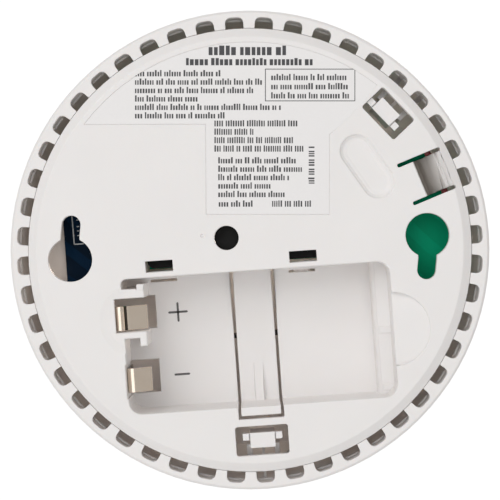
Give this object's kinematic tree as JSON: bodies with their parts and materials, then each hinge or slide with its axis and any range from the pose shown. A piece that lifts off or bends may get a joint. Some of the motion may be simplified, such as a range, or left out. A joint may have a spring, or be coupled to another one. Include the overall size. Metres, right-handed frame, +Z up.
{
  "type": "smoke detector",
  "caption": "Round battery smoke alarm with a vented cover, keyhole back plate and open battery bay.",
  "frame": {"origin": "centre of the flat mounting face of the back plate", "axes": "-Y out of the mounting face towards the wall, +Y towards the front cover, +Z up, +X right as seen from the back"},
  "size_m": [0.1, 0.034, 0.1],
  "materials": {
    "casing": "fine satin moulded texture",
    "label": "smooth printed film",
    "spring": "nickel-plated spring strip",
    "green_board": "green solder mask",
    "dark_board": "dark blue solder mask",
    "black_plastic": "matte black moulding",
    "grey_plastic": "grey-beige moulding",
    "chip": "moulded epoxy",
    "can": "drawn aluminium can",
    "brass": "rolled brass",
    "steel": "zinc-plated",
    "clear": "clear moulded acrylic",
    "red_lamp": "clear red epoxy",
    "red_wire": "dark red insulation",
    "black_wire": "black insulation"
  },
  "bodies": {
    "casing": {"back_plate": "casing", "rating_label": "label", "main_board": "green_board", "sounder_board": "dark_board", "board_screw_1": "steel", "board_screw_2": "steel", "board_screw_3": "steel", "controller_chip": "chip", "driver_chip": "chip", "boost_inductor": "chip", "large_capacitor": "can", "small_capacitor": "can", "test_switch_body": "chip", "status_led": "red_lamp", "light_pipe": "clear", "chamber_base": "black_plastic", "chamber_labyrinth": "black_plastic", "insect_screen": "steel", "ir_emitter": "clear", "photodiode": "chip", "sounder_carrier": "grey_plastic", "carrier_screw_1": "steel", "carrier_screw_2": "steel", "piezo_disc": "brass", "piezo_ceramic": "can", "piezo_lead_edge": "red_wire", "piezo_lead_centre": "black_wire", "red_battery_lead": "red_wire", "black_battery_lead": "black_wire", "front_cover": "casing"},
    "tongue": {"battery_tongue": "casing"},
    "plus_contact": {"positive_contact": "spring"},
    "minus_contact": {"negative_contact": "spring"},
    "button": {"test_button": "casing"},
    "plunger": {"test_switch_plunger": "black_plastic"}
  },
  "joints": [
    {"name": "tongue_flex", "type": "hinge", "parent": "casing", "child": "tongue", "pos_m": [0, 0.0175, -0.005], "axis": [-1, 0, 0], "range_deg": [-1.5, 8], "stiffness_Nm_per_rad": 0.3},
    {"name": "plus_contact_flex", "type": "slide", "parent": "casing", "child": "plus_contact", "axis": [0, 1, 0], "range_m": [0, 0.0008], "stiffness_N_per_m": 800},
    {"name": "minus_contact_flex", "type": "slide", "parent": "casing", "child": "minus_contact", "axis": [0, 1, 0], "range_m": [0, 0.0008], "stiffness_N_per_m": 800},
    {"name": "test_press", "type": "slide", "parent": "casing", "child": "button", "axis": [0, -1, 0], "range_m": [0, 0.0006], "stiffness_N_per_m": 3000},
    {"name": "switch_travel", "type": "slide", "parent": "casing", "child": "plunger", "axis": [0, -1, 0], "range_m": [0, 0.0006]}
  ],
  "couplings": [
    {"joint": "switch_travel", "follows": "test_press", "ratio": 1}
  ]
}
